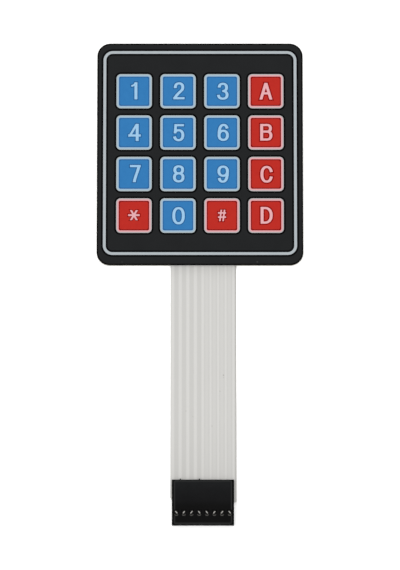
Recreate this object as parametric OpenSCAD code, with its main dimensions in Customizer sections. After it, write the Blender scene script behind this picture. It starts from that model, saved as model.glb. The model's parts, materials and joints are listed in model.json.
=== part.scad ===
// Membrane keypad: sixteen flat keys on a laminated film pad, a flat two-ply tail and an
// eight-way socket connector that is crimped through the tail. Sizes are in millimetres.
// The pad's back is at Z = 0 and its centre at the origin. +Y runs to the top of the pad
// and +Z out of its face. The keypad lies flat on its back, with the connector beside it.

/* [Pad] */
// Width of the pad
pad_w = 69.6; // [67:0.1:80]
// Height of the pad
pad_h = 77.2; // [75:0.1:90]
// Corner radius of the pad
pad_corner_r = 4.5; // [2:0.25:6]

/* [Keys] */
// Width and height of a key, over its printed frame
key_size = 12; // [10:0.25:13]
// Outer corner radius of a key frame
key_corner_r = 1.5; // [1:0.1:2]
// Width of a key frame's line
frame_line = 0.86; // [0.4:0.02:1]
// Corner radius of the coloured field inside a key frame
field_corner_r = 0.55; // [0.1:0.05:0.8]
// Distance between key centres, side to side
key_pitch_x = 14.85; // [14:0.05:15.5]
// Distance between key centres, up and down
key_pitch_y = 14.45; // [14:0.05:15.5]
// How far the keys' common centre sits above the pad's centre
grid_lift = 0.2; // [-1:0.1:1]

/* [Border line] */
// Black margin between the pad's sides and the printed border line
border_side = 2.1; // [1:0.05:3]
// Black margin above the border line
border_top = 2.65; // [1:0.05:4]
// Black margin below the border line
border_bottom = 3.5; // [1:0.05:4.5]
// Width of the border line
border_line = 0.95; // [0.5:0.05:1.5]
// Outer corner radius of the border line
border_corner_r = 3.2; // [2:0.1:5]

/* [Layers] */
// Thickness of the release liner
liner_t = 0.1; // [0.05:0.01:0.2]
// Thickness of the adhesive on the back
rear_adhesive_t = 0.1; // [0.05:0.01:0.2]
// Thickness of each circuit film
film_t = 0.125; // [0.075:0.025:0.175]
// Thickness of the silver ink of the tracks
ink_t = 0.02; // [0.01:0.005:0.04]
// Thickness of the spacer
spacer_t = 0.15; // [0.1:0.01:0.2]
// Thickness of the adhesive under the face film
overlay_adhesive_t = 0.1; // [0.03:0.01:0.15]
// Thickness of the printed face film
overlay_t = 0.25; // [0.12:0.01:0.3]
// Thickness of the coloured print in the face film
print_t = 0.02; // [0.01:0.005:0.04]
// How far the circuit films and the spacer stop short of the pad's edge
circuit_inset = 0.4; // [0.2:0.1:1]

/* [Circuit] */
// Diameter of the printed contact spot under a key
spot_d = 7; // [5:0.5:9]
// Diameter of the spacer's hole under a key
hole_d = 9; // [7:0.5:11]
// Width of the vent channels that join the spacer's holes
vent_w = 1; // [0.5:0.1:2]
// Width of a track inside the pad
track_w = 0.7; // [0.4:0.1:0.9]
// Distance between tracks that run side by side in the pad
bus_pitch = 1.2; // [1.1:0.05:1.5]
// Distance from the circuit film's edge to the first track
bus_margin = 1.5; // [1:0.1:2]

/* [Tail] */
// Width of each ply of the tail
tail_w = 21.7; // [21.4:0.1:24]
// How far the tail sits to the right of the pad's centre
tail_x = 1; // [-4:0.5:4]
// Length of the tail between the pad and the connector
tail_len = 73.8; // [40:0.2:120]
// How far the lower ply of the tail sits to the right of the upper ply
ply_shift = 0.35; // [0.1:0.05:0.5]
// Width of a track on the tail
tail_track_w = 1.3; // [1.2:0.05:1.6]
// How far the connector reaches over the tail
tail_grip = 7.6; // [6.4:0.2:8.6]
// Straight length of tail beside the connector
tail_lead = 4; // [2:0.5:10]
// Width that is trimmed off the tail's end corner
trim_w = 0.8; // [0.3:0.1:1.5]
// Length that is trimmed off the tail's end corner
trim_len = 1.6; // [0.5:0.1:3]

/* [Connector] */
// Distance between the contacts
pin_pitch = 2.54; // [2.5:0.01:2.8]
// Length of the housing
housing_len = 15.2; // [14:0.2:18]
// Height of the housing
housing_h = 2.6; // [2.5:0.1:3.5]
// Plastic that is left outside the first and the last contact's cell
housing_end = 0.2; // [0:0.05:0.5]
// Radius of the housing's long edges
housing_edge_r = 0.2; // [0.1:0.05:0.4]
// Thickness of the wall that the pins enter
front_wall = 0.9; // [0.6:0.1:1.4]
// Width of the square pin holes
pin_hole = 0.95; // [0.8:0.05:1.1]
// Width of the lead-in at the mouth of a pin hole
lead_in_w = 1.6; // [1.3:0.1:1.8]
// Depth of the lead-in
lead_in_depth = 0.4; // [0.2:0.05:0.5]
// Width of a window over a contact
window_w = 1.5; // [1.3:0.1:1.7]
// Length of a window over a contact
window_len = 2.2; // [2:0.1:2.6]
// Distance from the mating face to a window's middle
window_from_face = 3.9; // [3:0.1:4.2]

/* [Contacts] */
// Thickness of the contact metal
metal_t = 0.2; // [0.12:0.02:0.24]
// Width of a contact's box
box_w = 1.7; // [1.5:0.05:1.9]
// Height of a contact's box
box_h = 1.5; // [1.4:0.05:1.6]
// Length of the neck between a contact's box and its crimp
neck_len = 1; // [0.6:0.1:1.6]
// Width of a contact's crimp
crimp_w = 1.1; // [0.9:0.05:1.2]
// Length of a crimp prong along the tail
prong_len = 0.9; // [0.6:0.1:1.4]
// Distance from the tail's end to the first pair of prongs
prong_from = 1.9; // [1:0.1:2.5]
// Distance between the two pairs of prongs
prong_step = 2.7; // [2:0.1:3]
// Width of the lance that locks a contact in its window
lance_w = 0.8; // [0.5:0.05:0.9]
// Length of the lance
lance_len = 1.4; // [1:0.1:1.6]
// How far the lance rises at its free end
lance_rise = 0.3; // [0.2:0.05:0.35]
// Side of the square pins that the contacts take
pin_size = 0.64; // [0.5:0.02:0.7]

/* [Hidden] */
$fn = 48;
rows = 4;
columns = 4;
ways = rows + columns;
// Clearances: round a contact in its cell, between the tail and its slot, round a prong in its slit
cell_gap = 0.05;
slot_gap = 0.08;
slit_gap = 0.02;
// Extra depth of a cut, so that it passes its face
past = 1;
// Straight pieces that the tail's sinking and its rise are drawn with
sink_steps = 6;
rise_steps = 18;
// Shares of the tail's free length in which it sinks and rises, and of its height that it sinks by
sink_share = 0.04;
rise_share = 0.5;
sink_part = 0.75;
// Straight length of tail beside the pad
pad_lead = 0.5;
// Twist of each contact's lance, in degrees, as the presses left them
lance_twist = [16, -18, -14, 12, 18, -15, -18, 10];
// Cells whose edge carries a moulding nub, how far the nub sits from the cell's middle, and its size
nub_cells = [1, 3];
nub_shift = [-1.2, 0.1];
nub_size = [0.4, 0.35, 0.5];

// Heights of the layers, from the back to the face
rear_adhesive_z = liner_t;
lower_film_z = rear_adhesive_z + rear_adhesive_t;
column_z = lower_film_z + film_t;
spacer_z = column_z + ink_t;
row_z = spacer_z + spacer_t;
upper_film_z = row_z + ink_t;
overlay_adhesive_z = upper_film_z + film_t;
overlay_z = overlay_adhesive_z + overlay_adhesive_t;
face_z = overlay_z + overlay_t;
tail_t = overlay_adhesive_z - lower_film_z;

// Places along the tail and in the connector
pad_edge_y = -pad_h / 2;
film_edge_y = pad_edge_y + circuit_inset;
film_edge_x = -pad_w / 2 + circuit_inset;
housing_back_y = pad_edge_y - tail_len;
mate_y = housing_back_y - housing_len;
slot_end = housing_len - tail_grip;
tail_end_y = mate_y + slot_end + slot_gap;
tail_mid_z = housing_h / 2;
tail_sink = sink_part * lower_film_z;
tail_climb = tail_mid_z - tail_t / 2 - lower_film_z + tail_sink;
housing_w = ways * pin_pitch + 2 * housing_end;
box_y = front_wall + cell_gap;
box_len = slot_end - neck_len - box_y;
prong_y = [prong_from, prong_from + prong_step];
crimp_len = prong_y[1] + prong_len + metal_t;
prong_x = (crimp_w - metal_t) / 2;

// Centre of the key in column c and row r, both counted from the top left
function key_at(c, r) = [
    (c - (columns - 1) / 2) * key_pitch_x,
    grid_lift - (r - (rows - 1) / 2) * key_pitch_y
];
// The letter column and the star and hash keys are red
function is_red(c, r) = c == columns - 1 || (r == rows - 1 && c != 1);
// Middle of contact i's cell, side to side
function pin_x(i) = tail_x + (i - (ways - 1) / 2) * pin_pitch;
// Height of the k-th track run above the film's bottom edge
function run_y(k) = film_edge_y + bus_margin + k * bus_pitch;
// An easy S from 0 to 1
function ease(s) = let (c = max(0, min(1, s))) c - sin(360 * c) / (2 * PI);
// The place on the tail's free length, as a share s of it from the pad
function tail_place(s) = pad_edge_y - pad_lead - s * (tail_len - pad_lead - tail_lead);
function tail_share(y) = (pad_edge_y - pad_lead - y) / (tail_len - pad_lead - tail_lead);
// How far the tail stands above its height in the pad: it sinks to the table, lies flat, and rises
function tail_climb_at(y) =
    tail_climb * ease((tail_share(y) - 1 + rise_share) / rise_share)
    - tail_sink * ease(tail_share(y) / sink_share);
// Stations along the tail from y0 to y1
function tail_stations(y0, y1) = concat(
    [y0],
    [for (k = [0 : sink_steps]) tail_place(sink_share * k / sink_steps)],
    [for (k = [0 : rise_steps]) tail_place(1 - rise_share + rise_share * k / rise_steps)],
    [y1]
);

module round_rect(w, h, r) {
    square([w - 2 * r, h], center = true);
    square([w, h - 2 * r], center = true);
    for (x = [-1, 1], y = [-1, 1])
        translate([x * (w / 2 - r), y * (h / 2 - r)])
            circle(r);
}

module pad_sheet(z, t, inset = 0) {
    translate([0, 0, z])
        linear_extrude(t)
            round_rect(pad_w - 2 * inset, pad_h - 2 * inset, pad_corner_r - inset);
}

// A flat strip of the tail between x0 and x1, at the height z that it has in the pad
module tail_strip(x0, x1, z, t, y0, y1 = tail_end_y) {
    stations = tail_stations(y0, y1);
    under = [for (y = stations) [y, z + tail_climb_at(y)]];
    back = [for (k = [len(stations) - 1 : -1 : 0]) stations[k]];
    over = [for (y = back) [y, z + t + tail_climb_at(y)]];
    translate([x0, 0, 0])
        rotate([90, 0, 90])
            linear_extrude(x1 - x0)
                polygon(concat(under, over));
}

// A straight track between two points, square to the pad
module track(a, b, w) {
    low = [min(a.x, b.x), min(a.y, b.y)];
    high = [max(a.x, b.x), max(a.y, b.y)];
    translate(low - [w, w] / 2)
        square(high - low + [w, w]);
}

module each_key() {
    for (c = [0 : columns - 1], r = [0 : rows - 1])
        translate(key_at(c, r))
            children();
}

module each_key_of(red) {
    for (c = [0 : columns - 1], r = [0 : rows - 1])
        if (is_red(c, r) == red)
            translate(key_at(c, r))
                children();
}

module key_outline() {
    round_rect(key_size, key_size, key_corner_r);
}

module key_field() {
    round_rect(key_size - 2 * frame_line, key_size - 2 * frame_line, field_corner_r);
}

module border_outline() {
    w = pad_w - 2 * border_side;
    h = pad_h - border_top - border_bottom;
    translate([0, (border_bottom - border_top) / 2])
        difference() {
            round_rect(w, h, border_corner_r);
            round_rect(w - 2 * border_line, h - 2 * border_line, border_corner_r - border_line);
        }
}

module print_layer() {
    translate([0, 0, face_z - print_t])
        linear_extrude(print_t)
            children();
}

module graphic_overlay() {
    color("#26272a")
        difference() {
            pad_sheet(overlay_z, overlay_t);
            translate([0, 0, face_z - print_t])
                linear_extrude(print_t + past) {
                    border_outline();
                    each_key() key_outline();
                }
        }
}

module border_line_print() {
    color("#b4bbc1") print_layer() border_outline();
}

module key_frame_print() {
    color("#c3ccd3")
        print_layer()
            each_key()
                difference() {
                    key_outline();
                    key_field();
                }
}

module blue_key_print() {
    color("#367bb9") print_layer() each_key_of(false) key_field();
}

module red_key_print() {
    color("#bd2f28") print_layer() each_key_of(true) key_field();
}

module overlay_adhesive() {
    color("#d9d6cc") pad_sheet(overlay_adhesive_z, overlay_adhesive_t);
}

// Slits that the crimp prongs pierce through the tail, two pairs for each contact
module prong_slits() {
    for (i = [0 : ways - 1], y = prong_y, side = [-1, 1])
        translate([pin_x(i) + side * prong_x, mate_y + slot_end + y + prong_len / 2, tail_mid_z])
            cube([metal_t + 2 * slit_gap, prong_len + 2 * slit_gap, tail_t + past], center = true);
}

// The corner that is trimmed off the tail's end
module end_trim(x) {
    translate([x, tail_end_y, 0])
        linear_extrude(housing_h)
            polygon([[-past, -past], [trim_w, -past], [trim_w, 0], [0, trim_len], [-past, trim_len]]);
}

module circuit_film(z, shift) {
    left = tail_x - tail_w / 2 + shift;
    difference() {
        union() {
            pad_sheet(z, film_t, circuit_inset);
            tail_strip(left, left + tail_w, z, film_t, film_edge_y + bus_margin);
        }
        prong_slits();
        end_trim(left);
    }
}

module upper_circuit_film() {
    color("#d3d3cf") circuit_film(upper_film_z, 0);
}

module lower_circuit_film() {
    color("#cfcfca") circuit_film(lower_film_z, ply_shift);
}

// One sheet between the films: a hole under each key, channels that let the air move
// from hole to hole, and a tongue that parts the two plies of the tail
module spacer() {
    left = tail_x - tail_w / 2 + ply_shift;
    first = key_at(0, 0);
    last = key_at(columns - 1, rows - 1);
    color("#e6e4da")
        difference() {
            union() {
                pad_sheet(spacer_z, spacer_t, circuit_inset);
                tail_strip(left, left + tail_w - ply_shift, spacer_z, spacer_t, film_edge_y + bus_margin);
            }
            translate([0, 0, spacer_z - past])
                linear_extrude(spacer_t + 2 * past) {
                    each_key() circle(d = hole_d);
                    for (r = [0 : rows - 1])
                        track(key_at(0, r), key_at(columns - 1, r), vent_w);
                    track(first, [first.x, last.y], vent_w);
                }
            prong_slits();
            end_trim(left);
        }
}

// The part of a track on the tail, pierced by its own contact's prongs
module tail_track(i, z, y0) {
    difference() {
        tail_strip(pin_x(i) - tail_track_w / 2, pin_x(i) + tail_track_w / 2, z, ink_t, y0);
        prong_slits();
    }
}

// A row: four spots in a line, a bus down the pad's left margin, and one of the left tail tracks
module row_track(r) {
    bus_x = film_edge_x + bus_margin + r * bus_pitch;
    run = run_y(r);
    last = key_at(columns - 1, r);
    color("#a9abad") {
        translate([0, 0, row_z])
            linear_extrude(ink_t) {
                for (c = [0 : columns - 1])
                    translate(key_at(c, r))
                        circle(d = spot_d);
                track([bus_x, last.y], last, track_w);
                track([bus_x, last.y], [bus_x, run], track_w);
                track([bus_x, run], [pin_x(r), run], track_w);
            }
        tail_track(r, row_z, run);
    }
}

// A column: four spots one above the other, and one of the right tail tracks
module column_track(c) {
    run = run_y(min(c, columns - 1 - c));
    first = key_at(c, 0);
    color("#a3a5a7") {
        translate([0, 0, column_z])
            linear_extrude(ink_t) {
                for (r = [0 : rows - 1])
                    translate(key_at(c, r))
                        circle(d = spot_d);
                track(first, [first.x, run], track_w);
                track([first.x, run], [pin_x(rows + c), run], track_w);
            }
        tail_track(rows + c, column_z, run);
    }
}

module rear_adhesive() {
    color("#ddd9cd") pad_sheet(rear_adhesive_z, rear_adhesive_t);
}

module release_liner() {
    color("#ece8da") pad_sheet(0, liner_t);
}

// Places its children in the connector: X from the cell's middle, Y back from the mating
// face, Z from the tail's middle
module in_cell(i) {
    translate([pin_x(i), mate_y, tail_mid_z])
        children();
}

// Draws a profile in Y and Z, carried w wide across X
module side_profile(w) {
    translate([-w / 2, 0, 0])
        rotate([90, 0, 90])
            linear_extrude(w)
                children();
}

// Draws a profile in X and Z, carried from y0 back over a length
module end_profile(y0, length) {
    translate([0, y0, 0])
        rotate([-90, 0, 0])
            linear_extrude(length)
                mirror([0, 1])
                    children();
}

// The square funnel that guides a pin: two wedges crossed
module lead_in() {
    slope = (lead_in_w - pin_hole) / 2 / lead_in_depth;
    mouth = lead_in_w / 2 + slope * past;
    throat = pin_hole / 2;
    wedge = [[-mouth, -past], [mouth, -past], [throat, lead_in_depth], [-throat, lead_in_depth]];
    intersection() {
        translate([0, 0, -lead_in_w * 2])
            linear_extrude(lead_in_w * 4)
                polygon(wedge);
        side_profile(lead_in_w * 4)
            polygon([for (p = wedge) [p.y, p.x]]);
    }
}

// Everything that is hollow round one contact
module contact_cell() {
    cell_w = box_w + 2 * cell_gap;
    cell_h = box_h + 2 * cell_gap;
    crimp_h = tail_t + 2 * metal_t + 2 * cell_gap;
    translate([-cell_w / 2, front_wall, -cell_h / 2])
        cube([cell_w, slot_end - front_wall + cell_gap, cell_h]);
    translate([-crimp_w / 2 - cell_gap, slot_end, -crimp_h / 2])
        cube([crimp_w + 2 * cell_gap, tail_grip + past, crimp_h]);
    translate([-pin_hole / 2, -past, -pin_hole / 2])
        cube([pin_hole, front_wall + 2 * past, pin_hole]);
    translate([-window_w / 2, window_from_face - window_len / 2, 0])
        cube([window_w, window_len, housing_h]);
    lead_in();
}

module housing_block() {
    intersection() {
        end_profile(0, housing_len)
            round_rect(housing_w, housing_h, housing_edge_r);
        side_profile(housing_w)
            translate([housing_len / 2, 0])
                round_rect(housing_len, housing_h, housing_edge_r);
    }
}

module connector_housing() {
    slot_h = tail_t + 2 * slot_gap;
    color("#1e1f21") {
        difference() {
            translate([tail_x, mate_y, tail_mid_z])
                housing_block();
            translate([tail_x - housing_w, mate_y + slot_end, tail_mid_z - slot_h / 2])
                cube([2 * housing_w, tail_grip + past, slot_h]);
            for (i = [0 : ways - 1])
                in_cell(i) contact_cell();
        }
        for (k = [0 : len(nub_cells) - 1])
            in_cell(nub_cells[k])
                translate([nub_shift[k], housing_len, housing_h / 2 - housing_edge_r - nub_size.z / 2])
                    cube([nub_size.x, 2 * nub_size.y, nub_size.z], center = true);
    }
}

// The folded box that takes a pin, with the spring leaf that presses on the pin
module contact_box() {
    floor_z = -box_h / 2 + metal_t;
    crest_z = box_h / 2 - metal_t - pin_size;
    back_y = box_y + box_len;
    fold_r = 1.5 * metal_t;
    leaf_w = box_w - 2 * fold_r;
    end_profile(box_y, box_len)
        difference() {
            round_rect(box_w, box_h, fold_r);
            round_rect(box_w - 2 * metal_t, box_h - 2 * metal_t, fold_r - metal_t);
        }
    side_profile(leaf_w)
        polygon([
            [back_y, floor_z - metal_t / 2],
            [back_y, floor_z],
            [box_y + box_len / 2, crest_z],
            [box_y + metal_t, floor_z + metal_t],
            [box_y + metal_t, floor_z + metal_t / 4],
            [box_y + box_len / 2, crest_z - metal_t],
            [back_y - box_len / 4, floor_z - metal_t / 2]
        ]);
}

// A pair of prongs: legs through the tail, then folded in over its top
module prong_pair(y) {
    flap = (crimp_w - 3 * metal_t) / 2;
    end_profile(slot_end + y, prong_len)
        for (side = [0, 1])
            mirror([side, 0])
                translate([crimp_w / 2 - metal_t, 0]) {
                    translate([0, -tail_t / 2 - metal_t / 2])
                        square([metal_t, tail_t + metal_t / 2]);
                    translate([0, tail_t / 2])
                        intersection() {
                            circle(metal_t);
                            square(metal_t);
                        }
                    translate([metal_t / 2 - flap, tail_t / 2])
                        square([flap - metal_t / 2, metal_t]);
                }
}

module contact(i) {
    base_z = -tail_t / 2 - metal_t;
    pitch = asin(lance_rise / lance_len);
    neck_w = crimp_w - 2 * cell_gap;
    color("#c9c7c1")
        in_cell(i) {
            contact_box();
            translate([0, window_from_face - lance_len / 2, box_h / 2 - metal_t / 2])
                rotate([pitch, lance_twist[i], 0])
                    translate([-lance_w / 2, 0, -metal_t / 2])
                        cube([lance_w, lance_len, metal_t]);
            side_profile(neck_w)
                polygon([
                    [box_y + box_len - metal_t, -box_h / 2],
                    [box_y + box_len - metal_t, -box_h / 2 + metal_t],
                    [slot_end, base_z + metal_t],
                    [slot_end + metal_t, base_z + metal_t],
                    [slot_end + metal_t, base_z],
                    [slot_end, base_z]
                ]);
            translate([-crimp_w / 2, slot_end + cell_gap, base_z])
                cube([crimp_w, crimp_len - cell_gap, metal_t]);
            for (y = prong_y)
                prong_pair(y);
        }
}

graphic_overlay();
border_line_print();
key_frame_print();
blue_key_print();
red_key_print();
overlay_adhesive();
upper_circuit_film();
spacer();
lower_circuit_film();
rear_adhesive();
release_liner();
connector_housing();
for (r = [0 : rows - 1])
    row_track(r);
for (c = [0 : columns - 1])
    column_track(c);
for (i = [0 : ways - 1])
    contact(i);
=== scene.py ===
# %% [markdown]
# # A sixteen-key membrane keypad
# The keypad is a stack of thin films: a black printed face, two white circuit films with silver tracks
# between them, adhesive and a paper liner. A flat tail of the two circuit films ends in a black socket.
# The solids come from the CAD model at their real size and stay where they are. This lesson gives each of
# them its finish, and adds what is too thin for a solid: the printed legends, the two-tone ink of the key
# frames and the low ridges that the tracks raise along the tail.

# %% Load the keypad's solids
import sys
import json

import bpy
import numpy as np
from mathutils import Vector
from mathutils.geometry import delaunay_2d_cdt
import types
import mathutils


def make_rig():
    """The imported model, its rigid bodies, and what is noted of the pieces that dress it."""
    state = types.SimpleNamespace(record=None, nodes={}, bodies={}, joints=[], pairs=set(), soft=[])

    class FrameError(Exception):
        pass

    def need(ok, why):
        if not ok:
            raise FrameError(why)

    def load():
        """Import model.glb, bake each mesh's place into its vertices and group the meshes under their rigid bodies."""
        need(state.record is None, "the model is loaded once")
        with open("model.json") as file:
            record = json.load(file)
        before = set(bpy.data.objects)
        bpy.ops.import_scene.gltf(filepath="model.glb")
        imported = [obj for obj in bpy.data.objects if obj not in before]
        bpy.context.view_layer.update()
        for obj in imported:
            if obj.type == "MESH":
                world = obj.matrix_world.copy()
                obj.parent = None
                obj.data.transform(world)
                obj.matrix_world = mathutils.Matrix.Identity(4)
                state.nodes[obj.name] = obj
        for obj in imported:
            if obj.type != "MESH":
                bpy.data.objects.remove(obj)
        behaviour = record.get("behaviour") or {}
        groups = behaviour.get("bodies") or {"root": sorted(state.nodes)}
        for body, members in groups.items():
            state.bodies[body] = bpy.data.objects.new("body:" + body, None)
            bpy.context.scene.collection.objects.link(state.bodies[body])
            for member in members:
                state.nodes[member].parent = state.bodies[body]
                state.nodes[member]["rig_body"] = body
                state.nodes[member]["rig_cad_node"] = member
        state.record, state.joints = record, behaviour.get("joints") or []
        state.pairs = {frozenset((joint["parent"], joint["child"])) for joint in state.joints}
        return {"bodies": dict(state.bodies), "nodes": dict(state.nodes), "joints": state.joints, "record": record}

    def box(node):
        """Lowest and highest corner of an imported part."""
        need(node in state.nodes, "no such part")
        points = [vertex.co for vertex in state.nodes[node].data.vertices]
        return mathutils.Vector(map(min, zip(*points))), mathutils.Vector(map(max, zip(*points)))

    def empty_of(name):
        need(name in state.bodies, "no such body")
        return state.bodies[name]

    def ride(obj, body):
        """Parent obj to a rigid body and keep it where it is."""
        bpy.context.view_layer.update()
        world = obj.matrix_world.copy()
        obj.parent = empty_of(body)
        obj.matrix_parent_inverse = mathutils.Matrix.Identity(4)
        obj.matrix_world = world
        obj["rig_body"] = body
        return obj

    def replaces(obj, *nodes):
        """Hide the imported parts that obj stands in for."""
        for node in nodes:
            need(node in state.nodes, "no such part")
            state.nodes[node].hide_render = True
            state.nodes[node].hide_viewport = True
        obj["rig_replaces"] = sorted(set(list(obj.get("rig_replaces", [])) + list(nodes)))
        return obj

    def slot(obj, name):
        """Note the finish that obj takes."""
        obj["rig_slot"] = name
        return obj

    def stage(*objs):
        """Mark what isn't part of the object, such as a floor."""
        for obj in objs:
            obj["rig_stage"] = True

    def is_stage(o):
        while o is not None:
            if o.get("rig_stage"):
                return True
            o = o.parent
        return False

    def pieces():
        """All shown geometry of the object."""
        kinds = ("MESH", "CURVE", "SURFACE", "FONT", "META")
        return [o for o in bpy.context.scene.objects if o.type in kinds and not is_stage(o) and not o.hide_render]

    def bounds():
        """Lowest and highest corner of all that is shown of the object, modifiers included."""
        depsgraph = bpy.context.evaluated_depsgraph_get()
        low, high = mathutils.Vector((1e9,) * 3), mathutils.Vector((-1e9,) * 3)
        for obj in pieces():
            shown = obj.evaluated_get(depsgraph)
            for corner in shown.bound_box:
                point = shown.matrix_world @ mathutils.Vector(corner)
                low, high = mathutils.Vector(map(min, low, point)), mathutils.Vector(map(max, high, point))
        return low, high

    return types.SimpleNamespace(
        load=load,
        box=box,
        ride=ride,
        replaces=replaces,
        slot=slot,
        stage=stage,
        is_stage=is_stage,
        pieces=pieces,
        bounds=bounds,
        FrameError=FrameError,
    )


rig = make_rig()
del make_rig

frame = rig.load()
solids = frame["nodes"]
cad_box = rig.bounds()
MM = 0.001
print("solids:", len(solids), "box in mm:", [round(side / MM, 2) for side in cad_box[1] - cad_box[0]])

# %% [markdown]
# ## The camera
# The keypad lies flat and the camera looks down on it, leaning thirteen degrees towards the tail, from about
# two metres away with a long lens. That was found by matching the corners of the key frames. A long lens
# keeps the pad's sides almost parallel, as they are in a catalogue picture.

# %% Camera
VIEW_TILT = np.radians(13.01)
VIEW_DISTANCE = 1982 * MM
VIEW_AIM = np.array([0.01, -45.26, 0]) * MM
LENS = 372.2
SENSOR = 36

lens = bpy.data.cameras.new("camera")
lens.sensor_fit = "VERTICAL"
lens.sensor_height = SENSOR
lens.sensor_width = SENSOR
lens.lens = LENS
lens.clip_start = 0.05
lens.clip_end = 50
camera = bpy.data.objects.new("camera", lens)
camera.location = VIEW_AIM + VIEW_DISTANCE * np.array([0, -np.sin(VIEW_TILT), np.cos(VIEW_TILT)])
camera.rotation_euler = (VIEW_TILT, 0, 0)
bpy.context.scene.collection.objects.link(camera)
bpy.context.scene.camera = camera
print("camera at", [round(x, 3) for x in camera.location])

# %% [markdown]
# ## Colours and nodes
# A screen colour such as #367BB9 is stored on a curve, and a shader works with amounts of light, so each
# colour is straightened once, by one function. Another small function adds a node, sets it and links it.
# With these two, every finish below can be read as a short list.

# %% Helpers for finishes


def linear(code):
    """An sRGB hex code as linear light: c / 12.92 up to 0.04045, then ((c + 0.055) / 1.055) to the 2.4."""
    c = np.array([int(code[i:i + 2], 16) for i in (1, 3, 5)]) / 255
    light = np.where(c <= 0.04045, c / 12.92, ((c + 0.055) / 1.055) ** 2.4)
    return (*light.tolist(), 1.0)


def add(tree, kind, settings=None, inputs=None):
    """Adds a node. Each input is a value, or the output of another node, which is linked to it."""
    node = tree.nodes.new(kind)
    for name, value in (settings or {}).items():
        setattr(node, name, value)
    for name, value in (inputs or {}).items():
        if isinstance(value, bpy.types.NodeSocket):
            tree.links.new(value, node.inputs[name])
        else:
            node.inputs[name].default_value = value
    return node


def new_finish(name, **sockets):
    """A material with one Principled shader, whose constants are set on its own sockets."""
    finish = bpy.data.materials.new(name)
    finish.use_nodes = True
    tree = finish.node_tree
    tree.nodes.clear()
    constants = {key.replace("_", " "): value for key, value in sockets.items()}
    shader = add(tree, "ShaderNodeBsdfPrincipled", None, constants)
    add(tree, "ShaderNodeOutputMaterial", None, {"Surface": shader.outputs[0]})
    place = add(tree, "ShaderNodeTexCoord").outputs["Object"]
    return finish, tree, shader, place


print("white is", [round(x, 3) for x in linear("#FFFFFF")], "mid grey is", round(linear("#808080")[0], 3))

# %% [markdown]
# ## Patterns
# The finishes share a few patterns: soft patches, a fine grain, the distance in from an outline, and specks
# of dust. They read the place on the object, so each keeps its real size in millimetres.

# %% Patterns
MATH = "ShaderNodeMath"
VECTOR = "ShaderNodeVectorMath"
NOISE_LOW = 0.3
NOISE_HIGH = 0.7
SPECK_RADIUS = 0.35


def cloudy(tree, place, size, low, high, detail=2):
    """A value that drifts between low and high in soft patches, each about size millimetres across."""
    pattern = {"Vector": place, "Scale": 1 / (size * MM), "Detail": detail}
    noise = add(tree, "ShaderNodeTexNoise", None, pattern)
    limits = {"From Min": NOISE_LOW, "From Max": NOISE_HIGH, "To Min": low, "To Max": high}
    return add(tree, "ShaderNodeMapRange", None, {"Value": noise.outputs[0], **limits}).outputs[0]


def grain(tree, place, size, height, detail=2):
    """A bumped normal: noise of about size millimetres, height millimetres from valley to hill."""
    pattern = {"Vector": place, "Scale": 1 / (size * MM), "Detail": detail}
    noise = add(tree, "ShaderNodeTexNoise", None, pattern)
    relief = {"Height": noise.outputs[0], "Distance": height * MM, "Strength": 1}
    return add(tree, "ShaderNodeBump", None, relief).outputs[0]


def depth_inside(tree, place, centre, half, corner, pitch=None, far=None):
    """Millimetres in from a rounded rectangle's outline, up to its corner radius. With q as the larger of
    |p| - (half - corner) and 0, it is corner - length(q). With a pitch, p counts from the nearest of the
    repeated centres, the last of which lies far from the first."""
    p = add(tree, VECTOR, {"operation": "SUBTRACT"}, {0: place, 1: (*(np.array(centre) * MM), 0)})
    if pitch is not None:
        step = (*(pitch * MM), 1)
        low = (*np.minimum(far * MM, 0), 0)
        high = (*np.maximum(far * MM, 0), 0)
        near = add(tree, VECTOR, {"operation": "ADD"}, {0: p.outputs[0], 1: (*(pitch / 2 * MM), 0)})
        near = add(tree, VECTOR, {"operation": "SNAP"}, {0: near.outputs[0], 1: step})
        near = add(tree, VECTOR, {"operation": "MAXIMUM"}, {0: near.outputs[0], 1: low})
        near = add(tree, VECTOR, {"operation": "MINIMUM"}, {0: near.outputs[0], 1: high})
        p = add(tree, VECTOR, {"operation": "SUBTRACT"}, {0: p.outputs[0], 1: near.outputs[0]})
    p = add(tree, VECTOR, {"operation": "MULTIPLY"}, {0: p.outputs[0], 1: (1 / MM, 1 / MM, 0)})
    p = add(tree, VECTOR, {"operation": "ABSOLUTE"}, {0: p.outputs[0]})
    core = (half[0] - corner, half[1] - corner, 0)
    p = add(tree, VECTOR, {"operation": "SUBTRACT"}, {0: p.outputs[0], 1: core})
    p = add(tree, VECTOR, {"operation": "MAXIMUM"}, {0: p.outputs[0], 1: (0, 0, 0)})
    p = add(tree, VECTOR, {"operation": "LENGTH"}, {0: p.outputs[0]})
    return add(tree, MATH, {"operation": "SUBTRACT"}, {0: corner, 1: p.outputs["Value"]}).outputs[0]


def blend(tree, share, first, second):
    """A colour between two others, each a hex code or an output."""
    ends = {6: first, 7: second}
    colours = {key: linear(end) if isinstance(end, str) else end for key, end in ends.items()}
    return add(tree, "ShaderNodeMix", {"data_type": "RGBA"}, {0: share, **colours}).outputs[2]


def ramp(tree, value, start, end, low=0, high=1):
    """Low up to start, high from end on, and an easy S between them."""
    limits = {"From Min": start, "From Max": end, "To Min": low, "To Max": high}
    easy = {"interpolation_type": "SMOOTHSTEP"}
    return add(tree, "ShaderNodeMapRange", easy, {"Value": value, **limits}).outputs[0]


def specked(tree, place, colour, dust, specks):
    """A colour with round specks of dust. Each speck is x and y in millimetres and the share of dust at its
    middle, and the share falls to 0 at the specks' radius."""
    reach = (SPECK_RADIUS, SPECK_RADIUS)
    for x, y, share in specks:
        depth = depth_inside(tree, place, (x, y), reach, SPECK_RADIUS)
        colour = blend(tree, ramp(tree, depth, 0, SPECK_RADIUS, 0, share), colour, dust)
    return colour


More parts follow.
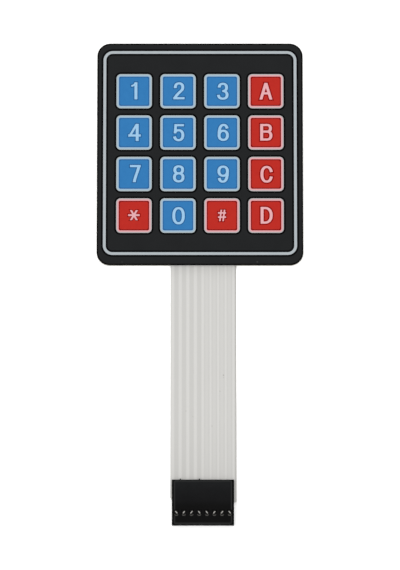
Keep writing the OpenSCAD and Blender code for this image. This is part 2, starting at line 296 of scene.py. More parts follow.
print("noise is stretched from", NOISE_LOW, "to", NOISE_HIGH, "and specks are", 2 * SPECK_RADIUS, "mm wide")

# %% [markdown]
# ## The layout, measured from the frame
# The looks have to fall on the solids, so their places are measured from the solids. The key frames give
# the pitch of the keys, the face film gives the level of the print, and the contacts give the pitch of the
# tracks.

# %% Layout
KEY_SIZE = 12.0
KEY_CORNER = 1.5
FRAME_LINE = 0.86
FIELD_CORNER = 0.55
PAD_CORNER = 4.5
ROWS = 4
COLUMNS = 4
CONTACTS = 8


def box_mm(node):
    """A solid's lowest and highest corner in millimetres."""
    return [np.array(corner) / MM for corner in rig.box(node)]


pad_low, pad_high = box_mm("graphic_overlay")
face_z = pad_high[2]
pad_half = (pad_high[:2] - pad_low[:2]) / 2
frames_low, frames_high = box_mm("key_frame_print")
print_depth = frames_high[2] - frames_low[2]
grid_centre = (frames_low[:2] + frames_high[:2]) / 2
key_pitch = (frames_high[:2] - frames_low[:2] - KEY_SIZE) / (np.array([COLUMNS, ROWS]) - 1)
mate_y, housing_back = (corner[1] for corner in box_mm("connector_housing"))
contact_boxes = np.array([box_mm(f"contact_{number}") for number in range(1, CONTACTS + 1)])
contact_x = contact_boxes[:, :, 0].mean(axis=1)
track_pitch = (contact_x[-1] - contact_x[0]) / (CONTACTS - 1)


def key_centre(column, row):
    """The centre of a key, counted from the top left one."""
    steps = np.array([column - (COLUMNS - 1) / 2, (ROWS - 1) / 2 - row])
    return grid_centre + steps * key_pitch


def depth_in_key(tree, place, half, corner):
    """Millimetres in from the outline of a rounded square of a half side, repeated on every key."""
    far = key_centre(COLUMNS - 1, ROWS - 1) - key_centre(0, 0)
    return depth_inside(tree, place, key_centre(0, 0), (half, half), corner, key_pitch, far)


print("key pitch", key_pitch.round(3), "face at", round(face_z, 3), "track pitch", round(track_pitch, 3))

# %% [markdown]
# ## The face film
# The face is a polyester film with a fine matt hard coat, printed black on its back. A matt coat scatters
# the light, so the black reads as a soft dark grey, and it mirrors little, so one low gloss serves the film
# and its inks. Round each printed line the black was laid twice, which leaves a fine line of a deeper black,
# as artwork for print often has. Along the pad's cut edge a fine black line is painted shade of the edge,
# and just inside it a band a touch paler than the rest is a painted highlight. The knife left the edge
# itself rough, and two specks of lint lie on the lower rim. The coat's real grain is a few hundredths of a
# millimetre; it is drawn here ten times coarser, so that it shows.

# %% Matt black polyester
FACE_GLOSS = 0.03
COAT_GRAIN = (0.35, 0.005)
RIM_START = 0.4
RIM_WIDTH = 0.9
EDGE_LINE = (0.35, 0.6)
KEYLINE = 0.7
KEYLINE_BLUR = 0.15
KNIFE_MARK = 0.06
KNIFE_ROUGHNESS = 0.95
BORDER_CORNER = 3.2
BORDER_LINE = 0.95
RIM_LINT = [(19.29, -37.5, 0.2), (-26.23, -37.55, 0.08)]


def beside_line(tree, depth, line):
    """1 on a printed line and close beside it, then falling to 0 at the keyline's width. Depth counts from an
    outline that lies a keyline's width outside the line, so the line's middle is at line / 2 + keyline."""
    reach = line / 2 + KEYLINE
    off = add(tree, MATH, {"operation": "SUBTRACT"}, {0: depth, 1: reach})
    away = add(tree, MATH, {"operation": "ABSOLUTE"}, {0: off.outputs[0]})
    return ramp(tree, away.outputs[0], reach - KEYLINE_BLUR, reach, 1, 0)


matt_black, tree, shader, place = new_finish("hard_coated_polyester_black", IOR=1.5,
                                             Specular_IOR_Level=FACE_GLOSS)
depth = depth_inside(tree, place, (0, 0), pad_half, PAD_CORNER)
ground = blend(tree, cloudy(tree, place, 7, 0, 1), "#1C1D1E", "#1E1F20")
# Painted highlight: the face is a touch paler near the cut edge, fading out by RIM_WIDTH in.
edged = blend(tree, ramp(tree, depth, RIM_START, RIM_WIDTH, 1, 0), ground, "#1F1F1F")
frame_depth = depth_in_key(tree, place, KEY_SIZE / 2 + KEYLINE, KEY_CORNER + KEYLINE)
border_low, border_high = box_mm("border_line_print")
border_half = (border_high - border_low)[:2] / 2 + KEYLINE
border_mid = (border_high + border_low)[:2] / 2
border_depth = depth_inside(tree, place, border_mid, border_half, BORDER_CORNER + KEYLINE)
round_frames = beside_line(tree, frame_depth, FRAME_LINE)
round_border = beside_line(tree, border_depth, BORDER_LINE)
keylines = add(tree, MATH, {"operation": "MAXIMUM"}, {0: round_frames, 1: round_border})
# Painted shade: a black line along the cut edge, laid together with the keylines.
at_edge = ramp(tree, depth, *EDGE_LINE, 1, 0)
dark = add(tree, MATH, {"operation": "MAXIMUM"}, {0: keylines.outputs[0], 1: at_edge})
inked = blend(tree, dark.outputs[0], edged, "#000001")
tree.links.new(specked(tree, place, inked, "#8A8A88", RIM_LINT), shader.inputs["Base Color"])
satin = cloudy(tree, place, 11, 0.36, 0.44, 4)
cut = ramp(tree, depth, KNIFE_MARK / 2, KNIFE_MARK, KNIFE_ROUGHNESS, 0)
rough = add(tree, MATH, {"operation": "MAXIMUM"}, {0: satin, 1: cut})
tree.links.new(rough.outputs[0], shader.inputs["Roughness"])
tree.links.new(grain(tree, place, *COAT_GRAIN), shader.inputs["Normal"])
print("keylines", KEYLINE, "mm wide on a pad of", (2 * pad_half).round(2), "mm")

# %% [markdown]
# ## Printed inks
# The border line, the key fields and the key frames are screen printed. Screen ink lies in an even film with
# a slight mottle from the mesh, and each field is a touch deeper at its edge, where the squeegee leaves
# more ink. The frames are silver at their outer edge, and let the key's colour through at the inner one.

# %% Screen inks
EDGE_BEAD = 0.5
BEAD_BLUR = 0.3


def screen_ink(name, pale, deep, edge=None):
    """A printed colour, mottled between pale and deep. Edge is a deeper colour along a key field's
    outline."""
    finish, tree, shader, place = new_finish(name, IOR=1.5, Specular_IOR_Level=FACE_GLOSS)
    colour = blend(tree, cloudy(tree, place, 1.6, 0, 1, 4), pale, deep)
    if edge:
        depth = depth_in_key(tree, place, KEY_SIZE / 2 - FRAME_LINE, FIELD_CORNER + EDGE_BEAD)
        colour = blend(tree, ramp(tree, depth, EDGE_BEAD - BEAD_BLUR, EDGE_BEAD, 1, 0), colour, edge)
    tree.links.new(colour, shader.inputs["Base Color"])
    tree.links.new(cloudy(tree, place, 9, 0.40, 0.50, 3), shader.inputs["Roughness"])
    tree.links.new(grain(tree, place, *COAT_GRAIN), shader.inputs["Normal"])
    return finish


def frame_ink(name, silver, tinted):
    """Silver ink at the outer half of a key frame, tinted by the key's colour at the inner half."""
    finish, tree, shader, place = new_finish(name, IOR=1.5, Specular_IOR_Level=FACE_GLOSS)
    depth = depth_in_key(tree, place, KEY_SIZE / 2, KEY_CORNER)
    inner = ramp(tree, depth, 0.25 * FRAME_LINE, 0.75 * FRAME_LINE)
    tree.links.new(blend(tree, inner, silver, tinted), shader.inputs["Base Color"])
    tree.links.new(cloudy(tree, place, 4, 0.36, 0.48, 3), shader.inputs["Roughness"])
    tree.links.new(grain(tree, place, *COAT_GRAIN), shader.inputs["Normal"])
    return finish


silver_line = screen_ink("silver_screen_ink", "#9FA5A9", "#9BA2A6")
blue_field = screen_ink("blue_screen_ink", "#2E6DA3", "#2C6AA0", "#265788")
red_field = screen_ink("red_screen_ink", "#A8271F", "#A4251E", "#6E0808")
blue_frame = frame_ink("silver_ink_over_blue", "#9AA4A8", "#89A5BB")
red_frame = frame_ink("silver_ink_over_red", "#A5A0A1", "#CE8F93")
blue_legend = screen_ink("white_ink_over_blue", "#8EB3CF", "#89AECB")
red_legend = screen_ink("white_ink_over_red", "#CF9DA1", "#CA989C")
blue_keyline = screen_ink("deep_blue_screen_ink", "#235788", "#215484")
red_keyline = screen_ink("deep_red_screen_ink", "#800403", "#7C0302")
print("inks:", [ink.name for ink in bpy.data.materials if "ink" in ink.name])

# %% [markdown]
# ## The white circuit films
# The two plies of the tail are opaque white polyester with a satin face. The silver tracks lie on the inner
# side of each ply, so the ply that carries a track shows it as a plain darker band, while the other ply shows
# a fainter band whose two edges are painted darker, as painted shade where it bends over the track. One
# pattern draws both, from the distance to the nearest track. The tail is painted darker towards the pad and
# towards the socket, as painted shade of the pad's edge and of the socket, and a few specks of dust lie on it.

# %% White polyester films
TRACK_WIDTH = 1.45
BAND_BLUR = 0.45
FILM_COLOURS = ("#BEBDBA", "#B3B2AF", "#B8B7B4", "#B5B4B1")
# Painted shade: the dark brown that the tail's two ends are darkened towards.
GREYING = "#2E2820"
# Each end of the tail: its place, the painted shade's reach, below 0 where the tail lies towards +Y, and its share.
GREYED_ENDS = ((pad_low[1], 1.9, 0.25), (housing_back, -14, 0.08))
TAIL_DUST = [(7.88, -76.39, 0.7), (7.92, -77.18, 0.25), (4.02, -93.94, 0.32), (6.71, -81.91, 0.3),
             (-4.67, -88.75, 0.27), (-2.36, -90.62, 0.2)]


def greyed(tree, y, colour):
    """A film colour with painted shade towards both ends of the tail, where the pad's edge and the socket
    would shade it. At a distance d from an end it goes a share a exp(-d / r) of the way to a dark brown."""
    for end, reach, share in GREYED_ENDS:
        off = add(tree, MATH, {"operation": "SUBTRACT"}, {0: y, 1: end * MM})
        far = add(tree, MATH, {"operation": "DIVIDE"}, {0: off.outputs[0], 1: reach * MM})
        near = add(tree, MATH, {"operation": "MINIMUM"}, {0: far.outputs[0], 1: 0})
        fade = add(tree, MATH, {"operation": "EXPONENT"}, {0: near.outputs[0]})
        part = add(tree, MATH, {"operation": "MULTIPLY"}, {0: fade.outputs[0], 1: share})
        colour = blend(tree, part.outputs[0], colour, GREYING)
    return colour


def white_film(name, bands_left, clear, band, shown, edge, specks=()):
    """Satin white film with plain bands over one half of the tracks, and fainter ones over the other half,
    whose edges are darker as painted shade where the film bends over the track. A place is in a band where
    its distance to the nearest track's middle is under half the track's width. Specks of dust lie on it."""
    finish, tree, shader, place = new_finish(name, IOR=1.57, Specular_IOR_Level=0.3)
    x, y, _ = add(tree, "ShaderNodeSeparateXYZ", None, {0: place}).outputs
    half_pitch = track_pitch / 2 * MM
    off = add(tree, MATH, {"operation": "SUBTRACT"}, {0: x, 1: contact_x[0] * MM})
    near = add(tree, MATH, {"operation": "WRAP"}, {0: off.outputs[0], 1: half_pitch, 2: -half_pitch})
    far = add(tree, MATH, {"operation": "ABSOLUTE"}, {0: near.outputs[0]}).outputs[0]
    rim = TRACK_WIDTH / 2 * MM
    blur = BAND_BLUR / 2 * MM
    inside = ramp(tree, far, rim - blur, rim + blur, 1, 0)
    away = add(tree, MATH, {"operation": "SUBTRACT"}, {0: far, 1: rim})
    away = add(tree, MATH, {"operation": "ABSOLUTE"}, {0: away.outputs[0]})
    middle = float(contact_x.mean()) * MM
    half = "LESS_THAN" if bands_left else "GREATER_THAN"
    side = add(tree, MATH, {"operation": half}, {0: x, 1: middle})
    plain = blend(tree, inside, clear, band)
    faint = blend(tree, inside, clear, shown)
    # Painted shade: the faint band's two edges are darker where the film bends over the track.
    lined = blend(tree, ramp(tree, away.outputs[0], 0, 2 * blur, 1, 0), faint, edge)
    # Painted shade towards the pad and the socket.
    colour = greyed(tree, y, blend(tree, side.outputs[0], lined, plain))
    colour = specked(tree, place, colour, "#6B665C", specks)
    tree.links.new(colour, shader.inputs["Base Color"])
    tree.links.new(cloudy(tree, place, 6, 0.38, 0.50, 3), shader.inputs["Roughness"])
    tree.links.new(grain(tree, place, 0.6, 0.004, 3), shader.inputs["Normal"])
    return finish


upper_white = white_film("satin_white_polyester_upper", True, *FILM_COLOURS, TAIL_DUST)
lower_white = white_film("satin_white_polyester_lower", False, *FILM_COLOURS)
print("bands", TRACK_WIDTH, "mm wide at a pitch of", round(track_pitch, 2), "mm")

# %% [markdown]
# ## Hidden layers
# The spacer, the adhesives and the liner show only as fine lines at the pad's edge and on its back. The
# adhesive and the paper are darker on the pad's cut edge than on their faces. The tracks are silver ink, a
# paint full of metal flakes, which shines less than metal does.

# %% Hidden layers


def plain_finish(name, pale, deep, patch, roughness, grit, height, cut=None, **sockets):
    """A mottled colour with a grain: patch and grit are sizes in millimetres, roughness a low and a high.
    Cut is the colour that the layer has on the cut edge of the pad."""
    finish, tree, shader, place = new_finish(name, **sockets)
    colour = blend(tree, cloudy(tree, place, patch, 0, 1, 3), pale, deep)
    if cut:
        depth = depth_inside(tree, place, (0, 0), pad_half, PAD_CORNER)
        colour = blend(tree, ramp(tree, depth, KNIFE_MARK / 2, KNIFE_MARK, 1, 0), colour, cut)
    tree.links.new(colour, shader.inputs["Base Color"])
    tree.links.new(cloudy(tree, place, 2 * patch, *roughness), shader.inputs["Roughness"])
    tree.links.new(grain(tree, place, grit, height), shader.inputs["Normal"])
    return finish


glue = plain_finish("acrylic_transfer_adhesive", "#D9D4C4", "#CFC9B6", 2, (0.45, 0.6), 0.8, 0.01,
                    "#2A2723", IOR=1.47)
spacer_sheet = plain_finish("spacer_film", "#DCD9D0", "#D3D0C6", 3, (0.45, 0.6), 0.5, 0.004, IOR=1.57)
liner = plain_finish("siliconised_kraft_paper", "#E3DDC6", "#D6CEB2", 0.9, (0.5, 0.65), 0.4, 0.01,
                     "#5A564C", IOR=1.45)
track_ink = plain_finish("printed_silver_ink", "#A9ABAC", "#9B9D9F", 0.8, (0.4, 0.55), 0.25, 0.004,
                         Metallic=0.6)
print("layers:", [finish.name for finish in (glue, spacer_sheet, liner, track_ink)])

# %% [markdown]
# ## The socket's housing
# The housing is moulded polyester. Its face is painted paler towards the back and darker towards the front,
# as painted shade where the light falls off. The edges read as black, and the bevel just inside them catches
# the light as a pale line, a painted highlight. Both lines are drawn from the distance to the outline.

# %% Housing
FRONT_EASE = 0.5
# Millimetres from the mating end, between which the painted front shade gives way, and between which the face is
# painted paler.
ETCH_STARTS = (5.8, 8.6)
ETCH_PALES = (8, 15)
# Millimetres in from the outline, between which the dark edge ends, and the bevel's line starts and ends.
EDGE_ENDS = (0.5, 0.65)
BEVEL_STARTS = (0.6, 0.75)
BEVEL_ENDS = (0.95, 1.15)
HOUSING_CORNER = 1.2


def moulded_black(name):
    """Black plastic, painted paler towards the back as painted shade of the light's fall-off, with black edges
    and a pale line along the bevel, a painted highlight. The line is one ramp up times one ramp down, by the
    distance in from the outline."""
    finish, tree, shader, place = new_finish(name, IOR=1.5, Specular_IOR_Level=0.04)
    y = add(tree, "ShaderNodeSeparateXYZ", None, {0: place}).outputs["Y"]
    # Painted shade: the face is dark at the front and grows paler towards the back.
    starts, pales = (mate_y + np.array([ETCH_STARTS, ETCH_PALES])) * MM
    etched = blend(tree, ramp(tree, y, *pales), "#111112", "#18191A")
    mottled = blend(tree, cloudy(tree, place, 2.5, 0, 0.3, 3), etched, "#0D0D0E")
    face = blend(tree, ramp(tree, y, *starts), "#0A0A0A", mottled)
    low, high = box_mm("connector_housing")
    low[1] -= FRONT_EASE
    depth = depth_inside(tree, place, (low + high)[:2] / 2, (high - low)[:2] / 2, HOUSING_CORNER)
    up = ramp(tree, depth, *BEVEL_STARTS)
    down = ramp(tree, depth, *BEVEL_ENDS, 1, 0)
    bevel = add(tree, MATH, {"operation": "MULTIPLY"}, {0: up, 1: down})
    face = blend(tree, bevel.outputs[0], face, "#252525")
    face = blend(tree, ramp(tree, depth, *EDGE_ENDS, 1, 0), face, "#000000")
    tree.links.new(face, shader.inputs["Base Color"])
    tree.links.new(cloudy(tree, place, 5, 0.62, 0.72), shader.inputs["Roughness"])
    tree.links.new(grain(tree, place, 0.3, 0.006), shader.inputs["Normal"])
    return finish


housing = moulded_black("moulded_black_polyester")
print("housing from y", round(mate_y, 2), "to", round(housing_back, 2), "mm")

# %% [markdown]
# ## The contacts
# The contacts are stamped from spring metal and plated with tin. The plate is dark, partly from tarnish and
# partly as painted shade of the windows' hollows. In each window a painted glint stands in for the light
# that the lance reflects: a slanted streak at the top, and a faint arc at the foot. The painted glints lie on
# the metal itself, so they stay in place when the view turns.

# %% Tin plate
WINDOW_FROM_MATE = 3.9
STREAK_UP = 0.3
STREAK_LEAN = 0.9
ARC_RADIUS = 0.75
ARC_SHARE = 0.8
# Millimetres between which the streak fades across and along, and the arc across and upwards.
STREAK_ACROSS = (0.1, 0.3)
STREAK_ALONG = (0.4, 0.65)
ARC_ACROSS = (0.05, 0.2)
ARC_UPWARDS = (-0.5, -0.2)
window_y = mate_y + WINDOW_FROM_MATE


def tin_plate(name, lean):
    """Tarnished tin, darkened further as painted shade, with a painted glint: a bright streak in the upper half
    of each window, where |x - lean y| stays under half its width, and a fainter arc round the window's
    foot, where the distance from the middle is near its radius."""
    finish, tree, shader, place = new_finish(name, Metallic=1.0)
    middle = (contact_x[0] * MM, window_y * MM, 0)
    p = add(tree, VECTOR, {"operation": "SUBTRACT"}, {0: place, 1: middle})
    reach = np.array([track_pitch / 2 * MM, 1, 1])
    p = add(tree, VECTOR, {"operation": "WRAP"}, {0: p.outputs[0], 1: reach, 2: -reach})
    p = add(tree, VECTOR, {"operation": "MULTIPLY"}, {0: p.outputs[0], 1: (1 / MM, 1 / MM, 0)})
    high = add(tree, VECTOR, {"operation": "SUBTRACT"}, {0: p.outputs[0], 1: (0, STREAK_UP, 0)})
    slope = add(tree, VECTOR, {"operation": "DOT_PRODUCT"}, {0: high.outputs[0], 1: (1, -lean, 0)})
    across = add(tree, MATH, {"operation": "ABSOLUTE"}, {0: slope.outputs["Value"]})
    far = add(tree, VECTOR, {"operation": "LENGTH"}, {0: high.outputs[0]})
    thin = ramp(tree, across.outputs[0], *STREAK_ACROSS, 1, 0)
    short = ramp(tree, far.outputs["Value"], *STREAK_ALONG, 1, 0)
    streak = add(tree, MATH, {"operation": "MULTIPLY"}, {0: thin, 1: short})
    round_foot = add(tree, VECTOR, {"operation": "LENGTH"}, {0: p.outputs[0]})
    off = add(tree, MATH, {"operation": "SUBTRACT"}, {0: round_foot.outputs["Value"], 1: ARC_RADIUS})
    off = add(tree, MATH, {"operation": "ABSOLUTE"}, {0: off.outputs[0]})
    y = add(tree, "ShaderNodeSeparateXYZ", None, {0: p.outputs[0]}).outputs["Y"]
    ring = ramp(tree, off.outputs[0], *ARC_ACROSS, 1, 0)
    foot = ramp(tree, y, *ARC_UPWARDS, ARC_SHARE, 0)
    arc = add(tree, MATH, {"operation": "MULTIPLY"}, {0: ring, 1: foot})
    # Painted shade and painted glints: a dark base for the hollow, then a faint arc and a bright streak.
    dull = blend(tree, cloudy(tree, place, 0.5, 0, 1, 3), "#242423", "#1A1A19")
    rubbed = blend(tree, arc.outputs[0], dull, "#5C5A57")
    tree.links.new(blend(tree, streak.outputs[0], rubbed, "#A09E9A"), shader.inputs["Base Color"])
    tree.links.new(cloudy(tree, place, 0.8, 0.45, 0.6), shader.inputs["Roughness"])
    tree.links.new(grain(tree, place, 0.25, 0.003), shader.inputs["Normal"])
    return finish


tin_left = tin_plate("tin_plate_left_streak", -STREAK_LEAN)
tin_right = tin_plate("tin_plate_right_streak", STREAK_LEAN)
print("finishes so far:", len(bpy.data.materials))

# %% [markdown]
# ## Dress the solids
# Each solid's object already has one material slot. The mesh stays as it is, and only the finish changes.

# %% Finishes for the solids
SOLID_FINISHES = {
    "graphic_overlay": matt_black,
    "border_line_print": silver_line,
    "key_frame_print": silver_line,
    "blue_key_print": blue_field,
    "red_key_print": red_field,
    "overlay_adhesive": glue,
    "rear_adhesive": glue,
    "upper_circuit_film": upper_white,
    "lower_circuit_film": lower_white,
    "spacer": spacer_sheet,
    "release_liner": liner,
    "connector_housing": housing,
}
for number in range(1, ROWS + 1):
    SOLID_FINISHES[f"row_track_{number}"] = track_ink
    SOLID_FINISHES[f"column_track_{number}"] = track_ink
for number, finish in enumerate((tin_left, tin_right, tin_right, tin_left) * 2, 1):
    SOLID_FINISHES[f"contact_{number}"] = finish

for name, solid in solids.items():
    solid.data.materials.clear()
    solid.data.materials.append(SOLID_FINISHES[name])
print("dressed", len(solids), "solids")

# %% [markdown]
# ## Pieces from arrays
# A new piece is a grid of points worked out as one array. Neighbours on the grid make the quads, and a grid
# that is joined end to end in both directions is a closed ring.

# %% Helpers for pieces


def make_piece(name, points, faces, finish, slot):
    """A mesh piece that rides with the keypad, from points in millimetres and the corner numbers of faces."""
    mesh = bpy.data.meshes.new(name)
    mesh.from_pydata((np.asarray(points) * MM).tolist(), [], faces)
    mesh.materials.append(finish)
    piece = bpy.data.objects.new(name, mesh)
    bpy.context.scene.collection.objects.link(piece)
    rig.ride(piece, "root")
    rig.slot(piece, slot)
    return piece


def grid_quads(rows, columns, close_rows, close_columns=True):
    """Quads between neighbours of a rows x columns grid, joined end to end where close says so."""
    r = np.arange(rows if close_rows else rows - 1)[:, None]
    c = np.arange(columns if close_columns else columns - 1)[None, :]
    r_next = (r + 1) % rows
    c_next = (c + 1) % columns
    corners = (r * columns + c, r * columns + c_next, r_next * columns + c_next, r_next * columns + c)
    return np.stack(np.broadcast_arrays(*corners), axis=-1).reshape(-1, 4)


def volume(piece):
    """A closed mesh's volume in cubic millimetres: the sum of a . (b x c) / 6 over its triangles. It is
    positive if the faces look outwards."""
    mesh = piece.data
    mesh.calc_loop_triangles()
    corners = np.empty(3 * len(mesh.loop_triangles), dtype=np.int32)
    mesh.loop_triangles.foreach_get("vertices", corners)
    points = np.empty(3 * len(mesh.vertices))
    mesh.vertices.foreach_get("co", points)
    a, b, c = (points.reshape(-1, 3) / MM)[corners.reshape(-1, 3)].transpose(1, 0, 2)
    return float(np.einsum("ij,ij->i", a, np.cross(b, c)).sum() / 6)


print("a 3 x 4 ring has", len(grid_quads(3, 4, True)), "quads")

# %% [markdown]
# ## Key frames
# Each key has a thin printed frame. Its outer corners are rounder than its inner ones, so the frame isn't an
# even offset: it is ruled between two rounded squares. The ink stands a few thousandths of a millimetre
# proud in the middle of the line. Blue and red keys get their own piece, because their ink is tinted.

# %% Key frames
ARC_POINTS = 9
LINE_POINTS = 7
CROWN = 0.006


def rounded_square(half, corner):
    """A closed outline: four quarter circles of radius corner, each about a point that lies half - corner
    from both axes."""
    turn = np.radians(np.arange(4)[:, None] * 90 + np.linspace(0, 90, ARC_POINTS)[None, :])
    quarter = np.radians(np.arange(4) * 90 + 45)[:, None]
    centre = (half - corner) * np.sqrt(2)
    x = centre * np.cos(quarter) + corner * np.cos(turn)
    y = centre * np.sin(quarter) + corner * np.sin(turn)
    return np.stack([x, y], axis=-1).reshape(-1, 2)


def frame_rings(centres):
    """Rings about the given centres. A point at s across the line and z up its section lies at
    outer + s (inner - outer), with z = face + crown (1 - (2s - 1)^2) on top."""
    outer = rounded_square(KEY_SIZE / 2, KEY_CORNER)
    inner = rounded_square(KEY_SIZE / 2 - FRAME_LINE, FIELD_CORNER)
    across = np.linspace(0, 1, LINE_POINTS)
    top = face_z + CROWN * (1 - (2 * across - 1) ** 2)
    s = np.concatenate([[0], across, [1]])
    z = np.concatenate([[face_z - print_depth], top, [face_z - print_depth]])
    flat = outer[:, None, :] + s[None, :, None] * (inner - outer)[:, None, :]
    level = np.broadcast_to(z[None, :, None], (len(outer), len(s), 1))
    ring = np.concatenate([flat, level], axis=-1)
    shift = np.concatenate([np.array(centres), np.zeros((len(centres), 1))], axis=1)
    points = (ring[None] + shift[:, None, None, :]).reshape(-1, 3)
    quads = grid_quads(len(outer), len(s), True)[:, ::-1]
    starts = np.arange(len(centres))[:, None, None] * len(outer) * len(s)
    return points, (quads[None] + starts).reshape(-1, 4).tolist()


every_key = [(column, row) for row in range(ROWS) for column in range(COLUMNS)]
red_keys = [key for key in every_key if key[0] == COLUMNS - 1 or (key[1] == ROWS - 1 and key[0] != 1)]
blue_keys = [key for key in every_key if key not in red_keys]
for name, keys, ink in (("key_frames_blue", blue_keys, blue_frame), ("key_frames_red", red_keys, red_frame)):
    piece = make_piece(name, *frame_rings([key_centre(*key) for key in keys]), ink, "silver_print")
    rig.replaces(piece, "key_frame_print")
    print(name, len(keys), "rings,", round(volume(piece), 3), "cubic mm of ink")

# %% [markdown]
# ## Legends
# The digits and letters are a plain sans face: upright strokes a little heavier than level ones. A font would
# bring its own shapes, so each sign is drawn as a pen would draw it. The pen's path is a line, an arc of an
# oval or a bend, and the stroke's width follows from its direction. Where strokes of one sign overlap they
# are joined into one outline, and that outline gets the thickness of a coat of ink.

# %% Pen strokes
STEM = 0.98
BAR = 0.74
FULLNESS = 2.2
ARC_STEP = 6
BEND_POINTS = 15
SAME_POINT = 1e-6
MERGE_WITHIN = 1e-5


def oval(x, y, rx, ry, start, end, fullness=FULLNESS):
    """An arc of a superellipse from start to end degrees: |cos| and |sin| to the power 2 / fullness."""
    a = np.radians(np.linspace(start, end, 3 + int(abs(end - start) / ARC_STEP)))
    curve = 2 / fullness
    px = x + rx * np.sign(np.cos(a)) * np.abs(np.cos(a)) ** curve
    py = y + ry * np.sign(np.sin(a)) * np.abs(np.sin(a)) ** curve
    return np.stack([px, py], axis=1)


def bend(*handles):
    """A cubic curve from four handles: the sum of handle k times its Bernstein weight at t from 0 to 1."""
    t = np.linspace(0, 1, BEND_POINTS)[:, None]
    a, b, c, d = np.array(handles)
    return (1 - t) ** 3 * a + 3 * (1 - t) ** 2 * t * b + 3 * (1 - t) * t ** 2 * c + t ** 3 * d


def pen(*paths, stem=STEM, bar=BAR):
    """A stroke along joined paths. Its half width is half the root of (stem up)^2 + (bar along)^2, where up
    and along are the parts of the path's direction, and it is laid off square to the path."""
    path = np.concatenate([np.array(p, dtype=float) for p in paths])
    fresh = np.concatenate([[True], np.linalg.norm(np.diff(path, axis=0), axis=1) > SAME_POINT])
    path = path[fresh]
    way = np.gradient(path, axis=0)
    way = way / np.linalg.norm(way, axis=1, keepdims=True)
    half = np.hypot(stem * way[:, 1], bar * way[:, 0])[:, None] / 2
    side = np.stack([-way[:, 1], way[:, 0]], axis=1) * half
    return path + side, path - side


def slant(path, width=STEM):
    """A slanted stroke with level ends: the pen is spread along x alone. The path runs downwards."""
    side = np.array([width / 2, 0])
    return np.array(path) + side, np.array(path) - side


def swell(stroke, growth):
    """A stroke made wider by growth at each side and longer by growth at each end."""
    left, right = stroke
    middle = (left + right) / 2
    side = (left - right) / 2
    side = side * (1 + growth / np.linalg.norm(side, axis=1, keepdims=True))
    for end, next_in in ((0, 1), (-1, -2)):
        way = middle[end] - middle[next_in]
        middle[end] = middle[end] + way * growth / np.linalg.norm(way)
    return middle + side, middle - side


def join_strokes(strokes):
    """The flat union of strokes: a Delaunay triangulation cut along every stroke's quads, of which the
    triangles that lie in some quad are kept."""
    points = np.concatenate([np.concatenate(sides) for sides in strokes])
    quads = []
    start = 0
    for left, _ in strokes:
        n = len(left)
        i = np.arange(start, start + n - 1)
        quads += np.stack([i + n, i + n + 1, i + 1, i], axis=1).tolist()
        start += 2 * n
    made = delaunay_2d_cdt([Vector(p) for p in points], [], quads, 0, MERGE_WITHIN)
    triangles = np.array([corners for corners, source in zip(made[2], made[5]) if source])
    used, renumbered = np.unique(triangles, return_inverse=True)
    return np.array([tuple(p) for p in made[0]])[used], renumbered.reshape(-1, 3)


def thicken(flat, triangles, bottom, top):
    """A flat outline as a closed coat: a floor, a top, and a wall on each edge that only one triangle
    has."""
    n = len(flat)
    edges = triangles[:, [[0, 1], [1, 2], [2, 0]]].reshape(-1, 2)
    _, first, uses = np.unique(np.sort(edges, axis=1), axis=0, return_index=True, return_counts=True)
    rim = edges[first[uses == 1]]
    walls = np.stack([rim[:, 0], rim[:, 1], rim[:, 1] + n, rim[:, 0] + n], axis=1)
    points = np.concatenate([np.insert(flat, 2, z, axis=1) for z in (bottom, top)])
    return points, [*triangles[:, ::-1].tolist(), *(triangles + n).tolist(), *walls.tolist()]


flat, triangles = join_strokes([pen([(0, 0), (4, 0)]), pen([(2, -2), (2, 2)])])
print("a plain cross has", len(triangles), "triangles")

# %% [markdown]
# ## The ten digits
# Each function draws one sign in a box of width w and height h, from the lower left corner. Most are built
# on the same few lines: the middle of an upright stroke at either side, and of a level one at head and foot.

# %% Digits
TALL_FULLNESS = 2.3


def sign_1(w, h):
    """An upright at the right, and a flag that bends up to its head from the left."""
    x = w - STEM / 2
    flag = bend((0, h - 1.26), (0.75, h - 1.2), (1.2, h - 0.85), (1.45, h))
    head = pen([(w - 0.3, h - 1.3), (w - 0.3, h)], stem=0.6)
    return [pen([(x, 0), (x, h - 1)]), head, pen(flag, stem=0.6, bar=0.6)]


def sign_2(w, h):
    """A bowl from the left over the head, a bend down to the left, and a level foot."""
    r = (w - STEM) / 2 - 0.2
    y = h - 1.72
    bowl = oval(w / 2, y, r, 1.72 - BAR / 2, 190, -20)
    neck = bend(bowl[-1], (w - 1.0, h - 3.1), (1.5, 2.3), (STEM / 2 + 0.03, BAR * 0.6))
    return [pen(bowl, neck), pen([(0, BAR / 2), (w - 0.1, BAR / 2)])]


def sign_3(w, h):
    """Two bowls open to the left that share a short level stroke half way up."""
    waist = 0.51 * h
    up = (h - BAR / 2 - waist) / 2
    down = (waist - BAR / 2) / 2
    r = (w - STEM) / 2
    upper = oval(w / 2 + 0.04, waist + up, r - 0.22, up, 181, -90)
    lower = oval(w / 2, waist - down, r, down, 90, -180)
    tongue = [(0.46 * w, waist)]
    return [pen(upper, tongue), pen(tongue, lower)]


def sign_4(w, h):
    """An upright, a level bar and a slanted stroke from the head to the bar's left end."""
    x = w - 1.2
    slope = slant([(x - 0.08, h), (0.46, 1.5)], 0.86)
    return [pen([(x, 0), (x, h)]), pen([(0.1, 1.9), (w, 1.9)]), slope]


def sign_5(w, h):
    """A level head, a slanted stroke at the left and a round bowl below."""
    y = 2.1
    bowl = oval(w / 2, y, (w - STEM) / 2, y - BAR / 2, 152, -167)
    head = pen([(0.5, h - BAR / 2), (w - 0.12, h - BAR / 2)])
    return [head, slant([(0.98, h), (0.72, 2.75)], 0.86), pen(bowl)]


